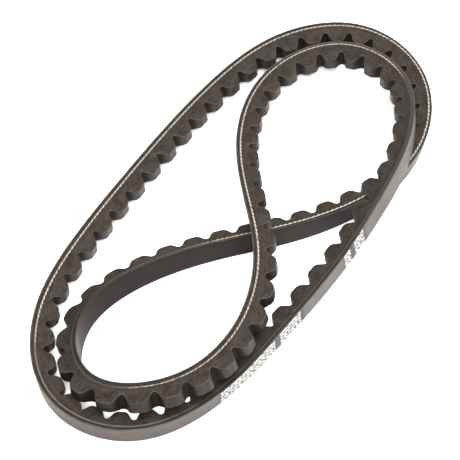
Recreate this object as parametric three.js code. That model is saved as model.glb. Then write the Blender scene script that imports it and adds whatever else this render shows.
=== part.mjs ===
// A raw-edge cogged V-belt lying loose on a flat surface, coiled over itself.
// Millimetres, +Z up. The belt is a bonded laminate: each ply is a closed ring of its own,
// swept along the route of the tensile cord.

import * as THREE from 'three';

// Belt section
const cogCount = 91;
const topWidth = 10;
const thickness = 8.2;
const notchDepth = 3.7;
const flankAngle = THREE.MathUtils.degToRad(19);
const cordDepth = 1.8;

// Plies, as depths below the back face
const coverDepth = [0, 0.45];
const overcordDepth = [0.6, 1];
const cushionDepth = [2.6, 3.1];
const compressionDepth = 3.3;

// Tensile cord: one cord wound side by side, its outermost turns cut through by the flanks
const cordDiameter = 1.2;
const cordTurns = 6;
const cordEndCog = 80;
const cordCutInset = 0.05;
const cordEndSliver = 0.2;

// Cog outline over one pitch, centred on a notch: place in the pitch, share of the full height
const cogOutline = [
  [-0.3, 0.93],
  [-0.18, 0.6],
  [-0.06, 0.04],
  [0.06, 0.04],
  [0.18, 0.6],
  [0.3, 0.93],
  [0.5, 1],
];

// Stations of the smooth plies, two to a cog, and the ink marks on the back counted in them
const ringStations = 2 * cogCount;
const inkThickness = 0.1;
const inkClearance = 0.05;
const inkMargin = 1;
const inkMarks = [
  { first: 176, steps: 5 },
  { first: 0, steps: 2 },
  { first: 7, steps: 1 },
  { first: 9, steps: 1 },
];

// How the belt lies: control points of a closed cubic B-spline along the middle of the cord,
// as x, y, z and the lean of the belt's width towards its cogs in degrees.
const route = [
  [-34.5, -40, 7.5, 3],
  [-3, -44, 11.5, 1],
  [27.5, -43.5, 15.5, 13],
  [59.5, -40, 16, 12],
  [88, -23, 13, 2],
  [91.5, 12, 8, -16],
  [60, 30.5, 4.5, -7],
  [28.5, 20, 6.5, -11],
  [4.5, 0.5, 14, -5],
  [-16.5, -22.5, 16.5, -9],
  [-47, -34, 15, -15],
  [-78, -27.5, 14.5, -33],
  [-98, 4.5, 10, -15],
  [-70, 29, 3.5, 25],
  [-39, 17.5, 5, 16],
  [-14, -1, 4.5, 11],
  [9, -23.5, 5, 9],
  [37, -40, 6, -5],
  [69.5, -42.5, 5, -5],
  [98.5, -24.5, 6, -2],
  [105.2, 10.2, 5.8, -8],
  [79, 35.5, 5.5, -6],
  [47, 41.9, 5.5, -7],
  [16, 43.2, 6, -11],
  [-15.5, 43.5, 6, -5],
  [-48, 43, 6.5, 0],
  [-80, 38, 6, -2],
  [-106, 14, 5, -2],
  [-98, -21.5, 5.5, 0],
  [-66.5, -36.5, 5, -5],
];
// Brings the lowest point to the surface and the middle of the outline over the origin
const restShift = new THREE.Vector3(-0.01, 0.118, -0.113);

// The spline's four values (x, y, z, lean) and their rate of change, at a place counted in control
// points.
function routeAt(place) {
  const span = Math.floor(place);
  const u = place - span;
  const weights = [
    (1 - u) ** 3 / 6,
    (3 * u ** 3 - 6 * u ** 2 + 4) / 6,
    (-3 * u ** 3 + 3 * u ** 2 + 3 * u + 1) / 6,
    u ** 3 / 6,
  ];
  const rates = [
    -((1 - u) ** 2) / 2,
    (9 * u ** 2 - 12 * u) / 6,
    (-9 * u ** 2 + 6 * u + 3) / 6,
    u ** 2 / 2,
  ];
  const value = [0, 0, 0, 0];
  const rate = [0, 0, 0, 0];
  for (let corner = 0; corner < 4; corner += 1) {
    const point = route[(span + corner - 1 + route.length) % route.length];
    for (let item = 0; item < 4; item += 1) {
      value[item] += weights[corner] * point[item];
      rate[item] += rates[corner] * point[item];
    }
  }
  return { value, rate };
}

// A station, its place counted in turns of the belt: the cord's middle, the direction towards the cogs
// and the direction across the belt. Every span of the route holds an equal share of the cogs.
function stationAt(turn) {
  const { value, rate } = routeAt((turn - Math.floor(turn)) * route.length);
  const along = new THREE.Vector3(rate[0], rate[1], rate[2]).normalize();
  const level = new THREE.Vector3(-along.y, along.x, 0).normalize();
  const upright = new THREE.Vector3().crossVectors(along, level);
  const lean = THREE.MathUtils.degToRad(value[3]);
  const across = upright.clone().multiplyScalar(Math.cos(lean)).addScaledVector(level, Math.sin(lean));
  const inward = level.clone().multiplyScalar(Math.cos(lean)).addScaledVector(upright, -Math.sin(lean));
  const middle = new THREE.Vector3(value[0], value[1], value[2]).add(restShift);
  return { middle, inward, across };
}

function halfWidth(depth) {
  return topWidth / 2 - depth * Math.tan(flankAngle);
}

// A section point: depth below the back, and place across the belt.
function pointAt(station, depth, side) {
  return station.middle
    .clone()
    .addScaledVector(station.inward, depth - cordDepth)
    .addScaledVector(station.across, side);
}

// Solid through a row of sections that all have the same number of points. The two faces of a
// ply are split along the same diagonal, so that neighbouring plies stay parallel where they twist.
function sweep(sections, closed) {
  const sides = sections[0].length;
  const positions = sections.flat().flatMap((point) => point.toArray());
  const faces = [];
  const rows = closed ? sections.length : sections.length - 1;
  for (let row = 0; row < rows; row += 1) {
    const nextRow = (row + 1) % sections.length;
    for (let side = 0; side < sides; side += 1) {
      const nextSide = (side + 1) % sides;
      const a = row * sides + side;
      const b = row * sides + nextSide;
      const c = nextRow * sides + nextSide;
      const d = nextRow * sides + side;
      if (side < sides / 2) {
        faces.push(a, b, c, a, c, d);
      } else {
        faces.push(a, b, d, b, c, d);
      }
    }
  }
  if (!closed) {
    const end = (sections.length - 1) * sides;
    for (let side = 1; side < sides - 1; side += 1) {
      faces.push(0, side + 1, side);
      faces.push(end, end + side, end + side + 1);
    }
  }
  const geometry = new THREE.BufferGeometry();
  geometry.setAttribute('position', new THREE.Float32BufferAttribute(positions, 3));
  geometry.setIndex(faces);
  geometry.computeVertexNormals();
  return geometry;
}

// The four corners of a ply between two depths, in the order that faces outwards.
function plySection(station, top, bottom) {
  return [
    pointAt(station, top, -halfWidth(top)),
    pointAt(station, bottom, -halfWidth(bottom)),
    pointAt(station, bottom, halfWidth(bottom)),
    pointAt(station, top, halfWidth(top)),
  ];
}

function plyRing([top, bottom]) {
  const sections = [];
  for (let step = 0; step < ringStations; step += 1) {
    sections.push(plySection(stationAt(step / ringStations), top, bottom));
  }
  return sweep(sections, true);
}

function compressionRing() {
  const sections = [];
  for (let cog = 0; cog < cogCount; cog += 1) {
    for (const [place, height] of cogOutline) {
      const bottom = thickness - notchDepth * (1 - height);
      sections.push(plySection(stationAt((cog + place) / cogCount), compressionDepth, bottom));
    }
  }
  return sweep(sections, true);
}

// A cord section that never reaches past the flanks, however far its centre has wound across.
function cordSection(station, side) {
  const radius = cordDiameter / 2;
  const limit = halfWidth(cordDepth) - cordCutInset;
  const hand = Math.sign(side) || 1;
  const beyond = Math.max(Math.abs(side) - limit, 0);
  const height = Math.sqrt(radius ** 2 - beyond ** 2);
  const middle = hand * Math.min(Math.abs(side), limit);
  const near = Math.max(side - radius, -limit);
  const far = Math.min(side + radius, limit);
  return [
    pointAt(station, cordDepth - height, middle),
    pointAt(station, cordDepth, near),
    pointAt(station, cordDepth + height, middle),
    pointAt(station, cordDepth, far),
  ];
}

function woundCord() {
  const reach = halfWidth(cordDepth) + cordDiameter / 2 - cordEndSliver;
  const steps = cordTurns * ringStations;
  const sections = [];
  for (let step = 0; step <= steps; step += 1) {
    const station = stationAt(cordEndCog / cogCount + step / ringStations);
    sections.push(cordSection(station, reach * (2 * step / steps - 1)));
  }
  return sweep(sections, false);
}

function inkMark({ first, steps }) {
  const reach = topWidth / 2 - inkMargin;
  const sections = [];
  for (let step = 0; step <= steps; step += 1) {
    const station = stationAt((first + step) / ringStations);
    sections.push([
      pointAt(station, -inkClearance - inkThickness, -reach),
      pointAt(station, -inkClearance, -reach),
      pointAt(station, -inkClearance, reach),
      pointAt(station, -inkClearance - inkThickness, reach),
    ]);
  }
  return sweep(sections, false);
}

const rubber = { color: 0x544c46, roughness: 0.78, metalness: 0 };
const cover = { color: 0x8c8480, roughness: 0.55, metalness: 0 };
const polyester = { color: 0xcfc5b8, roughness: 0.7, metalness: 0 };
const ink = { color: 0xe6e6de, roughness: 0.6, metalness: 0 };

const belt = new THREE.Group();

function addPart(name, geometry, finish) {
  const mesh = new THREE.Mesh(geometry, new THREE.MeshStandardMaterial(finish));
  mesh.name = name;
  belt.add(mesh);
}

addPart('back_cover_fabric', plyRing(coverDepth), cover);
addPart('overcord_rubber', plyRing(overcordDepth), rubber);
addPart('tensile_cord', woundCord(), polyester);
addPart('cushion_rubber', plyRing(cushionDepth), rubber);
addPart('compression_rubber_cogs', compressionRing(), rubber);
inkMarks.forEach((mark, index) => {
  addPart(`ink_mark_${index + 1}`, inkMark(mark), ink);
});

export default belt;
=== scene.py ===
import math
import bmesh
import bpy
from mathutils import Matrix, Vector


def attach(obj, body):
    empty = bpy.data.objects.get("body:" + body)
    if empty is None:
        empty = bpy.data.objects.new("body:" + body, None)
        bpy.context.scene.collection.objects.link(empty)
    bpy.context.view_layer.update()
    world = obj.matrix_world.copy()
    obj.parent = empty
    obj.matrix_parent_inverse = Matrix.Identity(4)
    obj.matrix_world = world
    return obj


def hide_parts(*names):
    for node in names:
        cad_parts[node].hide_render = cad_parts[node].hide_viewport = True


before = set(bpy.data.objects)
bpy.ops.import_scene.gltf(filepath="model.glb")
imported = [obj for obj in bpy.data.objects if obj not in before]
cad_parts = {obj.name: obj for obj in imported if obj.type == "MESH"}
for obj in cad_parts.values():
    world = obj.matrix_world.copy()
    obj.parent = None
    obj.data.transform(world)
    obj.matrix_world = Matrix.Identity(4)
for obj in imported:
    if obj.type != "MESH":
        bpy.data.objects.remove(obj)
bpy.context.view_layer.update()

mm = 0.001
hair = 0.001 * mm  # nearer than this counts as touching
aligned = 0.9  # a direction with this share along an axis counts as along it
creaseAngle = math.radians(40)  # flatter joints between faces are shaded smooth

belt = {
    "cogs": 91,
    "topWidth": 10.0 * mm,
    "thickness": 8.2 * mm,
    "notchDepth": 3.7 * mm,
    "flankAngle": 19.0,  # degrees
    "cordDepth": 1.8 * mm,
    "plyParts": 8,  # what a ply is cut into along a pitch, and across, so that it can bend
}

# how the belt lies: x, y, z of the points that guide the cord's middle, and the lean towards the cogs
# in degrees
route = {
    "shift": (-0.00001, 0.000118, -0.000113),
    "stepsPerPoint": 40,
    "points": [
        (-0.0345, -0.040, 0.0075, 3), (-0.003, -0.044, 0.0115, 1), (0.0275, -0.0435, 0.0155, 13),
        (0.0595, -0.040, 0.016, 12), (0.088, -0.023, 0.013, 2), (0.0915, 0.012, 0.008, -16),
        (0.060, 0.0305, 0.0045, -7), (0.0285, 0.020, 0.0065, -11), (0.0045, 0.0005, 0.014, -5),
        (-0.0165, -0.0225, 0.0165, -9), (-0.047, -0.034, 0.015, -15), (-0.078, -0.0275, 0.0145, -33),
        (-0.098, 0.0045, 0.010, -15), (-0.070, 0.029, 0.0035, 25), (-0.039, 0.0175, 0.005, 16),
        (-0.014, -0.001, 0.0045, 11), (0.009, -0.0235, 0.005, 9), (0.037, -0.040, 0.006, -5),
        (0.0695, -0.0425, 0.005, -5), (0.0985, -0.0245, 0.006, -2), (0.1052, 0.0102, 0.0058, -8),
        (0.079, 0.0355, 0.0055, -6), (0.047, 0.0419, 0.0055, -7), (0.016, 0.0432, 0.006, -11),
        (-0.0155, 0.0435, 0.006, -5), (-0.048, 0.043, 0.0065, 0), (-0.080, 0.038, 0.006, -2),
        (-0.106, 0.014, 0.005, -2), (-0.098, -0.0215, 0.0055, 0), (-0.0665, -0.0365, 0.005, -5),
    ],
}


# shader helpers
class Wire:
    def __init__(self, shader, socket):
        self.shader = shader
        self.socket = socket

    def maths(self, operation, first, second):
        return self.shader.node("ShaderNodeMath", {"operation": operation}, {0: first, 1: second})

    def __add__(self, other):
        return self.maths("ADD", self, other)

    def __radd__(self, other):
        return self.maths("ADD", other, self)

    def __sub__(self, other):
        return self.maths("SUBTRACT", self, other)

    def __rsub__(self, other):
        return self.maths("SUBTRACT", other, self)

    def __mul__(self, other):
        return self.maths("MULTIPLY", self, other)

    def __rmul__(self, other):
        return self.maths("MULTIPLY", other, self)

    def __truediv__(self, other):
        return self.maths("DIVIDE", self, other)


class Shader:
    def __init__(self, name):
        self.material = bpy.data.materials.new(name)
        self.material.use_nodes = True
        self.tree = self.material.node_tree
        self.surface = self.tree.nodes["Principled BSDF"]

    def node(self, kind, settings=None, inputs=None, output=0):
        made = self.tree.nodes.new(kind)
        for key, value in (settings or {}).items():
            if key == "stops":
                ramp = made.color_ramp
                for index, (place, colour) in enumerate(value):
                    stop = ramp.elements[index] if index < 2 else ramp.elements.new(place)
                    stop.position = place
                    stop.color = colour
            else:
                setattr(made, key, value)
        for key, value in (inputs or {}).items():
            self.feed(made.inputs[key], value)
        return Wire(self, made.outputs[output])

    def feed(self, socket, value):
        if isinstance(value, Wire):
            self.tree.links.new(value.socket, socket)
        else:
            socket.default_value = value

    def set(self, **values):
        for key, value in values.items():
            self.feed(self.surface.inputs[key.replace("_", " ")], value)

    def straight(self):  # place on the belt laid straight: along, depth from the cord, across, in mm
        return self.node("ShaderNodeAttribute", {"attribute_name": "straight"}, output=1)

    def apart(self, vector):
        made = self.tree.nodes.new("ShaderNodeSeparateXYZ")
        self.feed(made.inputs[0], vector)
        return [Wire(self, socket) for socket in made.outputs]

    def stretched(self, vector, scale):
        return self.node("ShaderNodeVectorMath", {"operation": "MULTIPLY"}, {0: vector, 1: scale})

    def noise(self, vector, scale, detail=3.0, roughness=0.5):
        return self.node("ShaderNodeTexNoise", {}, {
            "Vector": vector, "Scale": scale, "Detail": detail, "Roughness": roughness})

    def sine(self, value):
        return self.node("ShaderNodeMath", {"operation": "SINE"}, {0: value})

    def window(self, value, low, high):  # 0 below low, 1 above high, smooth between
        return self.node("ShaderNodeMapRange", {"interpolation_type": "SMOOTHSTEP"}, {
            "Value": value, "From Min": low, "From Max": high})

    def between(self, straight, cogs):  # 1 along part of the belt, fading in and out, in cogs
        along = self.apart(straight)[0] / (pitch / mm)
        start, full, fade, end = cogs
        return self.window(along, start, full) - self.window(along, fade, end)

    def blend(self, factor, first, second):
        return self.node("ShaderNodeMix", {"data_type": "RGBA"}, {0: factor, 6: first, 7: second}, output=2)

    def bump(self, height, distance, strength=1.0):
        return self.node("ShaderNodeBump", {}, {"Height": height, "Distance": distance, "Strength": strength})


# mesh helpers
def deselectAll():
    bpy.ops.object.select_all(action="DESELECT")


def editMode(on):
    bpy.ops.object.mode_set(mode="EDIT" if on else "OBJECT")


def selectFaces(test):
    mesh = bmesh.from_edit_mesh(bpy.context.object.data)
    bpy.ops.mesh.select_mode(type="FACE")
    for face in mesh.faces:
        face.select_set(test(face.calc_center_median(), face.normal))
    bmesh.update_edit_mesh(bpy.context.object.data)


def selectEdges(test):
    mesh = bmesh.from_edit_mesh(bpy.context.object.data)
    bpy.ops.mesh.select_mode(type="EDGE")
    bpy.ops.mesh.select_all(action="DESELECT")
    for edge in mesh.edges:
        start, end = (vertex.co for vertex in edge.verts)
        edge.select_set(test((start + end) / 2, (end - start).normalized()))
    bmesh.update_edit_mesh(bpy.context.object.data)


def cut(axis, places):
    for place in places:
        spot = [0.0, 0.0, 0.0]
        facing = [0.0, 0.0, 0.0]
        spot[axis] = place
        facing[axis] = 1.0
        bpy.ops.mesh.select_all(action="SELECT")
        bpy.ops.mesh.bisect(plane_co=spot, plane_no=facing)


def slices(low, high, parts):  # the places that part a length evenly
    return [low + (high - low) * step / parts for step in range(1, parts)]


def block(name, low, high):  # a box between two corners, left active
    deselectAll()
    centre = [(a + b) / 2 for a, b in zip(low, high)]
    bpy.ops.mesh.primitive_cube_add(size=1, location=centre, scale=[b - a for a, b in zip(low, high)])
    bpy.ops.object.transform_apply(location=True, rotation=True, scale=True)
    piece = bpy.context.object
    piece.name = name
    piece.data.name = name
    return piece


def applyModifier(piece, kind, settings):
    modifier = piece.modifiers.new(kind.title(), kind)
    for key, value in settings.items():
        setattr(modifier, key, value)
    bpy.ops.object.modifier_apply(modifier=modifier.name)


def repeat(piece, count, offset, joined=False):  # a row of copies, each shifted by the same offset
    applyModifier(piece, "ARRAY", {
        "count": count, "use_relative_offset": False, "use_constant_offset": True,
        "constant_offset_displace": offset, "use_merge_vertices": joined, "merge_threshold": hair})


def makeRoute():  # a closed curve with the lean as its tilt
    curve = bpy.data.curves.new("route", "CURVE")
    curve.dimensions = "3D"
    curve.twist_mode = "Z_UP"
    curve.use_radius = False
    spline = curve.splines.new("NURBS")
    count = len(route["points"])
    spline.points.add(count - 1)
    dx, dy, dz = route["shift"]
    for index in range(count):  # the last point goes first, so that the curve starts where cog 0 does
        x, y, z, lean = route["points"][index - 1]
        spline.points[index].co = (x + dx, y + dy, z + dz, 1)
        spline.points[index].tilt = -math.radians(lean)
    spline.use_cyclic_u = True
    spline.order_u = 4
    spline.resolution_u = route["stepsPerPoint"]
    guide = bpy.data.objects.new("route", curve)
    bpy.context.collection.objects.link(guide)
    spots = [vertex.co.copy() for vertex in guide.to_mesh().vertices]
    lengths = [0.0]
    for index in range(len(spots)):
        lengths.append(lengths[-1] + (spots[(index + 1) % len(spots)] - spots[index]).length)
    guide.to_mesh_clear()
    return guide, lengths


guide, routeLengths = makeRoute()
routeLength = routeLengths[-1]
pitch = routeLength / belt["cogs"]
slope = math.tan(math.radians(belt["flankAngle"]))
print("route laid,", round(routeLength / mm, 1), "mm")


def across(depth):  # half the belt's width at a depth below the back
    return belt["topWidth"] / 2 - depth * slope


def slopeFlanks(piece):  # a block as wide as the back is drawn in towards the cogs
    for vertex in piece.data.vertices:
        depth = vertex.co.y + belt["cordDepth"]
        vertex.co.z *= across(depth) / across(0)


def rememberStraight(piece):
    mesh = piece.data
    attribute = mesh.attributes.new("straight", "FLOAT_VECTOR", "CORNER")
    for loop in mesh.loops:
        attribute.data[loop.index].vector = mesh.vertices[loop.vertex_index].co / mm


def followRoute(piece):  # equal shares of the belt lie between neighbouring points of the route
    steps = len(routeLengths) - 1
    for vertex in piece.data.vertices:
        place = vertex.co.x / routeLength % 1 * steps
        step = min(int(place), steps - 1)
        vertex.co.x = routeLengths[step] + (place - step) * (routeLengths[step + 1] - routeLengths[step])


def layOnRoute(piece):
    rememberStraight(piece)
    followRoute(piece)
    applyModifier(piece, "CURVE", {"object": guide, "deform_axis": "POS_X"})
    editMode(True)
    bpy.ops.mesh.select_all(action="SELECT")
    bpy.ops.mesh.remove_doubles(threshold=2 * hair)
    editMode(False)
    bpy.ops.object.shade_smooth_by_angle(angle=creaseAngle)
    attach(piece, "root")


def paintFaces(piece, slots):  # gives each face the first material whose test it passes
    for material, test in slots:
        piece.data.materials.append(material)
    for face in piece.data.polygons:
        for index, (material, test) in enumerate(slots):
            if test(face.center, face.normal):
                face.material_index = index
                break


def anyFace(spot, facing):
    return True


def openEnds(length):
    selectFaces(lambda spot, facing: min(spot.x, length - spot.x) < hair and abs(facing.x) > aligned)
    bpy.ops.mesh.delete(type="FACE")


def ply(name, top, bottom, rounding, slots):
    edge = across(0)
    depthLow = top - belt["cordDepth"]
    depthHigh = bottom - belt["cordDepth"]
    piece = block(name, (0, depthLow, -edge), (pitch, depthHigh, edge))
    editMode(True)
    if rounding:
        selectEdges(lambda spot, along: abs(along.x) > aligned and spot.y < depthLow + hair)
        bpy.ops.mesh.bevel(offset=rounding, segments=3, affect="EDGES")
    openEnds(pitch)
    cut(0, slices(0, pitch, belt["plyParts"]))
    cut(2, slices(-edge, edge, belt["plyParts"]))
    editMode(False)
    slopeFlanks(piece)
    paintFaces(piece, slots)
    repeat(piece, belt["cogs"], (pitch, 0, 0), joined=True)
    layOnRoute(piece)
    return piece


# materials
cutLook = {
    "cloudScale": 210.0,  # per metre; the others are per mm
    "grainScale": 1.5,
    "dragScale": 0.9,
    "dragStretch": (0.35, 2.2, 2.2),
    "fleckScale": 1.3,
    "fleckStretch": (2.4, 2.0, 0.8),
    "fleckFrom": 0.62,
    "fleckAmount": 0.5,
    "dark": (0.0052, 0.0037, 0.0026, 1),
    "light": (0.0228, 0.0180, 0.0134, 1),
    "tint": (0.0210, 0.0158, 0.0140, 1),
    "fleck": (0.085, 0.072, 0.057, 1),
    "roughness": 0.8,
    "specular": 0.15,
    "sheen": (1.0, 0.92, 0.86, 1),
    "relief": 0.16,
}


def cutRubber(name, look):  # ground or knife-cut rubber: mottled, dull, with pale chopped fibre ends
    shader = Shader(name)
    straight = shader.straight()
    inPlace = shader.node("ShaderNodeTexCoord", output=3)
    cloud = shader.noise(inPlace, look["cloudScale"], 4, 0.6)
    grain = shader.noise(straight, look["grainScale"], 3, 0.6)
    drag = shader.noise(shader.stretched(straight, look["dragStretch"]), look["dragScale"], 2, 0.5)
    fibres = shader.noise(shader.stretched(straight, look["fleckStretch"]), look["fleckScale"], 2, 0.5)
    fleck = shader.window(fibres, look["fleckFrom"], look["fleckFrom"] + 0.1)
    patch = shader.window(shader.noise(inPlace, 1.9 * look["cloudScale"], 2, 0.5), 0.44, 0.56)
    tone = 0.35 * cloud + 0.4 * grain + 0.25 * drag
    shade = shader.blend(
        shader.window(tone, 0.38, 0.6), look["dark"], shader.blend(patch, look["light"], look["tint"]))
    if "ground" in look:
        shade = shader.blend(0.85 * shader.between(straight, look["groundCogs"]), shade, look["ground"])
    shader.set(
        Base_Color=shader.blend(fleck * look["fleckAmount"], shade, look["fleck"]),
        Roughness=look["roughness"] + 0.16 * (grain - 0.5) - 0.08 * fleck,
        Specular_IOR_Level=look["specular"],
        Specular_Tint=look["sheen"],
        Normal=shader.bump(0.6 * grain + 0.3 * drag + 0.35 * fleck + 0.25 * cloud, look["relief"] * mm))
    return shader.material


mouldLook = {
    "cloudScale": 160.0,  # per metre
    "grainScale": 1.6,
    "flowScale": 0.8,
    "flowStretch": (2.0, 2.0, 0.25),
    "dark": (0.0062, 0.0047, 0.0037, 1),
    "light": (0.0160, 0.0126, 0.0105, 1),
    # the next colour is painted shade: near black, laid down in the notches
    "root": (0.0019, 0.0013, 0.0010, 1),
    "notchShadeBand": (3.2, 5.6),  # mm from the cord, where the painted shade in the notch thins out
    "roughness": 0.48,
    "specular": 0.22,
    "sheen": (1.0, 0.90, 0.84, 1),
    "relief": 0.05,
}


def mouldedRubber(name, look):  # the smooth skin that the mould leaves on the cogs, with painted shade deep in the notches
    shader = Shader(name)
    straight = shader.straight()
    inPlace = shader.node("ShaderNodeTexCoord", output=3)
    cloud = shader.noise(inPlace, look["cloudScale"], 4, 0.6)
    grain = shader.noise(straight, look["grainScale"], 3, 0.6)
    flow = shader.noise(shader.stretched(straight, look["flowStretch"]), look["flowScale"], 3, 0.5)
    bloomAndPaintedSheen = shader.window(0.6 * cloud + 0.4 * flow, 0.4, 0.68)
    depth = shader.apart(straight)[1]
    # painted shade: the colour darkens to near black towards the notch bottoms
    unshadedShare = shader.window(depth + 0.8 * (grain - 0.5), *look["notchShadeBand"])
    shader.set(
        Base_Color=shader.blend(unshadedShare, look["root"], shader.blend(bloomAndPaintedSheen, look["dark"], look["light"])),
        Roughness=look["roughness"] + 0.14 * (cloud - 0.5) + 0.1 * (grain - 0.5) + 0.3 * (1 - unshadedShare),
        Specular_IOR_Level=look["specular"],
        Specular_Tint=look["sheen"],
        Normal=shader.bump(0.5 * grain + 0.5 * flow, look["relief"] * mm))
    return shader.material


backLook = {
    "weave": 5.2,  # threads to a radian of the imprint, per mm
    "cloudScale": 120.0,  # per metre
    "scuffScale": 0.7,
    "scuffStretch": (0.06, 1.0, 2.4),
    "grainScale": 2.2,
    "dark": (0.0046, 0.0033, 0.0031, 1),
    "light": (0.0118, 0.0088, 0.0083, 1),
    # the next two colours are painted light: a paler back that stands in for the bright reflection and light
    # on the outer runs
    "paintedSheenDark": (0.022, 0.0162, 0.0132, 1),
    "paintedSheenLight": (0.056, 0.0440, 0.0365, 1),
    "shadedCogs": (12.0, 18.0, 50.0, 55.0),  # the painted sheen fades out over the first two and back over the last; the inner runs between keep the darker colour, as painted shade
    "dimmedCogs": ((-1.0, -0.5, 1.0, 1.2), (3.3, 3.5, 4.8, 5.0), (87.8, 88.0, 92.0, 93.0)),  # by the print, where the painted sheen is dimmed
    "sheenDimming": 0.6,
    "scuff": (0.032, 0.027, 0.025, 1),
    "roughness": 0.52,
    "specular": 0.1,
    "gloss": 0.18,
    "sheen": (1.0, 0.91, 0.87, 1),
    "relief": 0.05,
}


def coverSkin(name, look):  # rubberised fabric pressed smooth: faint cloth imprint, lengthwise scuffs, and painted sheen that lightens the outer runs
    shader = Shader(name)
    straight = shader.straight()
    inPlace = shader.node("ShaderNodeTexCoord", output=3)
    cloud = shader.noise(inPlace, look["cloudScale"], 4, 0.6)
    grain = shader.noise(straight, look["grainScale"], 3, 0.6)
    scuff = shader.noise(shader.stretched(straight, look["scuffStretch"]), look["scuffScale"], 4, 0.6)
    scuff = shader.window(scuff, 0.56, 0.74)
    along, _, aside = shader.apart(straight)
    weave = shader.sine((along + aside) * look["weave"]) * shader.sine((along - aside) * look["weave"])
    # painted light: the back is paler on the outer runs and keeps its darker, shaded colour on the inner runs
    # and by the print
    bloomAndPaintedSheen = 1 - shader.between(straight, look["shadedCogs"])
    for cogs in look["dimmedCogs"]:
        bloomAndPaintedSheen = bloomAndPaintedSheen * (1 - look["sheenDimming"] * shader.between(straight, cogs))
    mottle = shader.window(0.4 * cloud + 0.6 * grain, 0.36, 0.62)
    plain = shader.blend(0.45 * scuff, shader.blend(mottle, look["dark"], look["light"]), look["scuff"])
    shader.set(
        Base_Color=shader.blend(bloomAndPaintedSheen, plain, shader.blend(mottle, look["paintedSheenDark"], look["paintedSheenLight"])),
        Roughness=look["roughness"] + 0.16 * (cloud - 0.5) + 0.12 * scuff + 0.08 * (grain - 0.5),
        Specular_IOR_Level=look["specular"],
        Specular_Tint=look["sheen"],
        Coat_Weight=look["gloss"] * bloomAndPaintedSheen,
        Coat_Roughness=look["roughness"],
        Normal=shader.bump(0.25 * weave + 0.4 * grain + 0.3 * scuff, look["relief"] * mm))
    return shader.material


threadLook = {
    "threadScale": 1.0,
    "threadStretch": (2.6, 5.0, 1.0),
    "patchStretch": (0.16, 1.0, 1.0),
    "dark": (0.013, 0.0100, 0.0078, 1),
    "light": (0.048, 0.040, 0.032, 1),
    "groundCogs": (3.5, 6.0, 13.0, 15.0),  # where grinding evened it out, fading in and out
    "ground": (0.0250, 0.0205, 0.0175, 1),
    "roughness": 0.75,
    "specular": 0.35,
    "relief": 0.06,
}


def threadEdge(name, look):  # the cut side of a fabric ply, its thread ends showing
    shader = Shader(name)
    straight = shader.straight()
    threads = shader.noise(shader.stretched(straight, look["threadStretch"]), look["threadScale"], 3, 0.6)
    patches = shader.noise(shader.stretched(straight, look["patchStretch"]), look["threadScale"], 2, 0.5)
    tone = shader.window(0.6 * threads + 0.4 * patches, 0.4, 0.62)
    ground = shader.between(straight, look["groundCogs"])
    shader.set(
        Base_Color=shader.blend(ground, shader.blend(tone, look["dark"], look["light"]), look["ground"]),
        Roughness=look["roughness"],
        Specular_IOR_Level=look["specular"],
        Normal=shader.bump(threads, look["relief"] * mm))
    return shader.material


strandLook = {
    "filamentScale": 1.6,
    "filamentStretch": (0.9, 7.0, 1.5),
    "smearScale": 0.42,
    "shown": ((11.5, 13.0, 34.0, 35.5), (43.5, 47.0, 78.5, 81.0)),  # fading in and out, in cogs
    "bare": (0.35, 0.315, 0.262, 1),
    "stained": (0.11, 0.092, 0.072, 1),
    "smear": (0.022, 0.0175, 0.0138, 1),
    "roughness": 0.7,
    "specular": 0.4,
    "relief": 0.06,
}


def cutStrand(name, look):  # polyester strands sliced by the knife, here and there smeared with rubber
    shader = Shader(name)
    straight = shader.straight()
    filament = shader.noise(
        shader.stretched(straight, look["filamentStretch"]), look["filamentScale"], 3, 0.6)
    smear = shader.window(shader.noise(straight, look["smearScale"], 4, 0.65), 0.52, 0.66)
    fibre = shader.blend(shader.window(filament, 0.34, 0.6), look["stained"], look["bare"])
    shown = 0.0
    for cogs in look["shown"]:
        shown = shader.between(straight, cogs) + shown
    shader.set(
        Base_Color=shader.blend(shown * (1 - 0.8 * smear), look["smear"], fibre),
        Roughness=look["roughness"] + 0.1 * (filament - 0.5),
        Specular_IOR_Level=look["specular"],
        Normal=shader.bump(filament, look["relief"] * mm))
    return shader.material


inkLook = {
    "wearScale": 1.6,
    "fresh": (0.50, 0.50, 0.48, 1),
    "worn": (0.30, 0.295, 0.28, 1),
    "roughness": 0.6,
    "relief": 0.01,
}


def printInk(name, look):
    shader = Shader(name)
    straight = shader.straight()
    wear = shader.noise(straight, look["wearScale"], 4, 0.65)
    shader.set(
        Base_Color=shader.blend(shader.window(wear, 0.5, 0.72), look["fresh"], look["worn"]),
        Roughness=look["roughness"] + 0.2 * (wear - 0.5),
        Normal=shader.bump(wear, look["relief"] * mm))
    return shader.material


flank = cutRubber("groundFlank", cutLook)
overcordLook = dict(cutLook, dark=(0.0045, 0.0034, 0.0025, 1), light=(0.0130, 0.0100, 0.0076, 1),
                    tint=(0.0120, 0.0090, 0.0080, 1), fleckAmount=0.3)
cushionLook = dict(cutLook, dark=(0.0055, 0.0042, 0.0032, 1), light=(0.0195, 0.0158, 0.0122, 1),
                   tint=(0.0180, 0.0140, 0.0130, 1))
# a lighter copy of the cut rubber for the rounded rims: a painted highlight along the edges
rimHighlightLook = dict(cutLook, dark=(0.026, 0.021, 0.0175, 1), light=(0.080, 0.068, 0.057, 1),
               tint=(0.074, 0.061, 0.054, 1), roughness=0.6)
hidden = cutRubber("bondedFace", overcordLook)
overcordFlank = cutRubber("overcordFlank", dict(
    overcordLook, ground=threadLook["ground"], groundCogs=threadLook["groundCogs"]))

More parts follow.
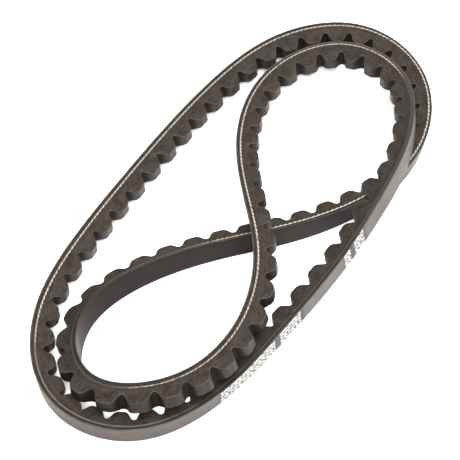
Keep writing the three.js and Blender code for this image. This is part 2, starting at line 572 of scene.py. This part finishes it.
# cover
cover = {"top": 0.0, "bottom": 0.45 * mm, "rounding": 0.12 * mm, "faceShare": 0.3}
coverPiece = ply("backCover", cover["top"], cover["bottom"], cover["rounding"], [
    (coverSkin("coverBack", backLook), lambda spot, facing: facing.y < -cover["faceShare"]),
    (threadEdge("coverEdge", threadLook), lambda spot, facing: abs(facing.z) > cover["faceShare"]),
    (hidden, anyFace),
])
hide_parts("back_cover_fabric")

overcord = {"top": 0.45 * mm, "bottom": 1.3 * mm}
overcordPiece = ply("overcordPly", overcord["top"], overcord["bottom"], 0, [(overcordFlank, anyFace)])
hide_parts("overcord_rubber")

cushion = {"top": 1.3 * mm, "bottom": 3.1 * mm}
cushionPiece = ply("cushionPly", cushion["top"], cushion["bottom"], 0, [
    (cutRubber("cushionRubber", cushionLook), anyFace)])
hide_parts("cushion_rubber")
print("plies laid")

cog = {
    "topDepth": 3.1 * mm,
    "rootHalf": 0.068,  # shares of the pitch
    "tipCornerFromNotch": 0.262,
    "tipRounding": 0.13,
    "rootRounding": 0.055,
    "edgeRounding": 0.1 * mm,
    "flankShare": 0.5,  # a face that points this much across the belt is on a flank
    "alongParts": 16,
    "downParts": 4,
    "acrossParts": 6,
}


def selectFlankRims(top):  # the edges where the cut flanks meet the moulded faces
    mesh = bmesh.from_edit_mesh(bpy.context.object.data)
    bpy.ops.mesh.select_mode(type="EDGE")
    bpy.ops.mesh.select_all(action="DESELECT")
    for edge in mesh.edges:
        onFlank = [abs(face.normal.z) > cog["flankShare"] for face in edge.link_faces]
        depth = (edge.verts[0].co.y + edge.verts[1].co.y) / 2
        if len(onFlank) == 2 and onFlank[0] != onFlank[1] and depth > top + 10 * hair:
            edge.select_set(True)
    bmesh.update_edit_mesh(bpy.context.object.data)


def makeCogs():
    edge = across(0)
    top = cog["topDepth"] - belt["cordDepth"]
    root = belt["thickness"] - belt["notchDepth"] - belt["cordDepth"]
    tip = belt["thickness"] - belt["cordDepth"]
    middle = pitch / 2
    piece = block("cogs", (0, top, -edge), (pitch, root, edge))
    editMode(True)
    cut(0, [pitch * cog["rootHalf"], pitch * (1 - cog["rootHalf"])])
    selectFaces(lambda spot, facing: facing.y > aligned and abs(spot.x - middle) < hair)
    bpy.ops.mesh.extrude_region_move(TRANSFORM_OT_translate={"value": (0, tip - root, 0)})
    share = (0.5 - cog["tipCornerFromNotch"]) / (0.5 - cog["rootHalf"])
    bpy.ops.transform.resize(value=(share, 1, 1), center_override=(middle, tip, 0))
    selectEdges(lambda spot, along: abs(along.z) > aligned and spot.y > tip - hair)
    bpy.ops.mesh.bevel(offset=cog["tipRounding"] * pitch, segments=9, affect="EDGES")
    selectEdges(lambda spot, along: abs(along.z) > aligned and abs(spot.y - root) < hair
                and hair < spot.x < pitch - hair)
    bpy.ops.mesh.bevel(offset=cog["rootRounding"] * pitch, segments=4, affect="EDGES")
    openEnds(pitch)
    editMode(False)
    slopeFlanks(piece)
    paintFaces(piece, [
        (flank, lambda spot, facing: abs(facing.z) > cog["flankShare"]),
        (mouldedRubber("mouldedCog", mouldLook), lambda spot, facing: spot.y > top + hair),
        (hidden, anyFace),
        (cutRubber("paintedRimHighlight", rimHighlightLook), anyFace),
    ])
    editMode(True)
    selectFlankRims(top)
    # the rounded rims take the painted highlight colour
    bpy.ops.mesh.bevel(offset=cog["edgeRounding"], segments=2, affect="EDGES", material=3)
    cut(0, slices(0, pitch, cog["alongParts"]))
    cut(1, [root] + slices(root, tip, cog["downParts"]))
    cut(2, slices(-edge, edge, cog["acrossParts"]))
    editMode(False)
    repeat(piece, belt["cogs"], (pitch, 0, 0), joined=True)
    layOnRoute(piece)
    return piece


cogPiece = makeCogs()
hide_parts("compression_rubber_cogs")
print("cogs made,", len(cogPiece.data.polygons), "faces")

cord = {
    "bandHalf": 0.3 * mm,
    "bandProud": 0.02 * mm,
    "bandDeep": 0.4 * mm,
    "bandRounding": 0.018 * mm,
    "strandLength": 1.95 * mm,
    "strandHeight": 0.66 * mm,
    "strandDepth": 0.2 * mm,
    "strandStep": 1.87 * mm,
    "slant": 17.0,  # degrees
    "cutCogs": ((12, 35), (41, 80)),  # where the knife opened the outermost turn on the upper flank
    # how deep below the back the cord's line lies on the flank: cog, depth in mm
    "wander": ((0, 1.6), (10, 1.5), (16, 1.15), (20, 1.6), (28, 1.85), (35, 2.0), (42, 1.5), (46, 1.35),
               (50, 1.75), (54, 1.25), (58, 1.15), (62, 1.6), (72, 1.65), (78, 1.85), (91, 1.6)),
}


def wander(piece):  # moves a piece of the cord to that depth, still on the sloping flank
    for vertex in piece.data.vertices:
        place = vertex.co.x / pitch % belt["cogs"]
        for (start, before), (end, after) in zip(cord["wander"], cord["wander"][1:]):
            if start <= place <= end:
                share = (place - start) / (end - start)
                share = share * share * (3 - 2 * share)  # starts and ends gently
                drift = (before + (after - before) * share) * mm - belt["cordDepth"]
                vertex.co.y += drift
                vertex.co.z -= drift * slope
                break


bandLook = dict(strandLook, bare=(0.060, 0.050, 0.039, 1), stained=(0.026, 0.0205, 0.0155, 1),
                smear=(0.0125, 0.0100, 0.0078, 1), shown=((11.5, 13.0, 34.0, 35.5), (40.5, 42.5, 85.0, 88.0)))


def makeCordBand():  # the cord's cut side, running round the upper flank
    edge = across(0)
    piece = block("cordBand", (0, -cord["bandHalf"], edge - cord["bandDeep"]),
                  (pitch, cord["bandHalf"], edge + cord["bandProud"]))
    editMode(True)
    selectEdges(lambda spot, along: abs(along.x) > aligned and spot.z > edge)
    bpy.ops.mesh.bevel(offset=cord["bandRounding"], segments=2, affect="EDGES")
    openEnds(pitch)
    cut(0, slices(0, pitch, belt["plyParts"]))
    editMode(False)
    slopeFlanks(piece)
    paintFaces(piece, [(cutStrand("cordSide", bandLook), anyFace)])
    repeat(piece, belt["cogs"], (pitch, 0, 0), joined=True)
    wander(piece)
    layOnRoute(piece)
    return piece


def makeStrands(name, first, last, material):  # one sliced strand of the twisted cord, repeated
    deselectAll()
    bpy.ops.mesh.primitive_uv_sphere_add(segments=14, ring_count=8, radius=0.5)
    piece = bpy.context.object
    piece.name = name
    piece.data.name = name
    piece.scale = (cord["strandLength"], cord["strandHeight"], cord["strandDepth"])
    bpy.ops.object.transform_apply(location=False, rotation=False, scale=True)
    piece.rotation_euler = (math.radians(belt["flankAngle"]), 0, math.radians(cord["slant"]))
    piece.location = (first * pitch, 0, across(belt["cordDepth"]))
    bpy.ops.object.transform_apply(location=True, rotation=True, scale=False)
    piece.data.materials.append(material)
    count = int((last - first) * pitch / cord["strandStep"])
    repeat(piece, count, (cord["strandStep"], 0, 0))
    wander(piece)
    layOnRoute(piece)
    return piece


bandPiece = makeCordBand()
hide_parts("tensile_cord")
strandMaterial = cutStrand("cordStrand", strandLook)
for index, (first, last) in enumerate(cord["cutCogs"]):
    makeStrands("cordStrands%d" % (index + 1), first, last, strandMaterial)
print("cord laid")

mark = {
    "dot": 0.47 * mm,
    "thickness": 0.03 * mm,
    "step": 0.5 * mm,
    "rows": 18,
    "blocks": ((88.0, 90.62), (90.86, 92.0), (94.5, 94.9), (95.15, 95.8)),  # counted in cogs
    "linePitch": 5,  # rows from one printed line to the next, and how many of them are inked
    "lineHeight": 3,
    "bridgeEvery": 4,  # columns from one that runs on between the lines to the next
    "dropCycle": 11,  # of so many dots in turn, how many the print left out
    "dropCount": 3,
}


def inkBlock(name, first, last, material):  # rows of dots, some left out
    step = mark["step"]
    reach = (mark["rows"] - 1) / 2 * step
    columns = int((last - first) * pitch / step)
    start = first * pitch
    deselectAll()
    bpy.ops.mesh.primitive_cylinder_add(
        vertices=10, radius=mark["dot"] / 2, depth=mark["thickness"], rotation=(math.pi / 2, 0, 0),
        location=(start, -belt["cordDepth"] - mark["thickness"] / 2, -reach))
    bpy.ops.object.transform_apply(location=True, rotation=True, scale=True)
    piece = bpy.context.object
    piece.name = name
    piece.data.name = name
    piece.data.materials.append(material)
    for count, direction in ((columns, (step, 0, 0)), (mark["rows"], (0, 0, step))):
        repeat(piece, count, direction)

    def missing(spot, facing):
        column = round((spot.x - start) / step)
        row = round((spot.z + reach) / step)
        lineGap = row % mark["linePitch"] >= mark["lineHeight"] and column % mark["bridgeEvery"] != 1
        dropped = (column * 7 + row * 5 + column * row) % mark["dropCycle"] < mark["dropCount"]
        return lineGap or dropped

    editMode(True)
    selectFaces(missing)
    bpy.ops.mesh.delete(type="FACE")
    editMode(False)
    layOnRoute(piece)
    return piece


inkMaterial = printInk("printInk", inkLook)
for index, (first, last) in enumerate(mark["blocks"]):
    inkPiece = inkBlock("inkDots%d" % (index + 1), first, last, inkMaterial)
    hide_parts("ink_mark_%d" % (index + 1))
print("print added")

bpy.data.objects.remove(guide)


# floor, light and camera
stage = {
    "floorSize": 4.0,
    "floorDrop": 0.05 * mm,  # below the lowest point of the belt
    "floorColour": (0.93, 0.93, 0.93, 1),
    "floorRoughness": 0.9,
    "daylight": 0.35,
    "lights": (  # name, place, size and power; all of them face the origin
        ("topLight", (0.25, 0.0, 0.9), 0.9, 28),
        ("rightLight", (0.5, -0.75, 0.3), 0.4, 4),
        ("frontLight", (-0.5, -0.35, 0.95), 0.5, 20),
    ),
}


def makeFloor():
    deselectAll()
    bpy.ops.mesh.primitive_plane_add(size=stage["floorSize"], location=(0, 0, -stage["floorDrop"]))
    floor = bpy.context.object
    floor.name = "floor"
    shader = Shader("paleFloor")
    shader.set(Base_Color=stage["floorColour"], Roughness=stage["floorRoughness"])
    floor.data.materials.append(shader.material)


view = {
    "aim": (-0.004605, 0.001776, 0.000169),
    "distance": 0.5499,
    "elevation": 58.37,
    "bearing": 56.0,  # degrees from the +Y axis round to where the camera looks
    "lens": 112.75,
    "sensor": 36,
}


def makeCamera():
    data = bpy.data.cameras.new("camera")
    data.lens = view["lens"]
    data.sensor_width = view["sensor"]
    camera = bpy.data.objects.new("camera", data)
    bpy.context.collection.objects.link(camera)
    up = math.radians(view["elevation"])
    bearing = math.radians(view["bearing"])
    looking = Vector((math.sin(bearing) * math.cos(up), math.cos(bearing) * math.cos(up), -math.sin(up)))
    camera.location = Vector(view["aim"]) - looking * view["distance"]
    camera.rotation_euler = looking.to_track_quat("-Z", "Y").to_euler()
    bpy.context.scene.camera = camera


def areaLight(name, place, size, power):
    data = bpy.data.lights.new(name, "AREA")
    data.shape = "SQUARE"
    data.size = size
    data.energy = power
    light = bpy.data.objects.new(name, data)
    bpy.context.collection.objects.link(light)
    light.location = place
    light.rotation_euler = (Vector((0, 0, 0)) - Vector(place)).to_track_quat("-Z", "Y").to_euler()


def makeLight():
    world = bpy.data.worlds.new("studio")
    bpy.context.scene.world = world
    world.use_nodes = True
    background = world.node_tree.nodes["Background"]
    background.inputs[0].default_value = (1, 1, 1, 1)
    background.inputs[1].default_value = stage["daylight"]
    for name, place, size, power in stage["lights"]:
        areaLight(name, place, size, power)


makeFloor()
makeCamera()
makeLight()
bpy.context.scene.view_settings.view_transform = "Standard"
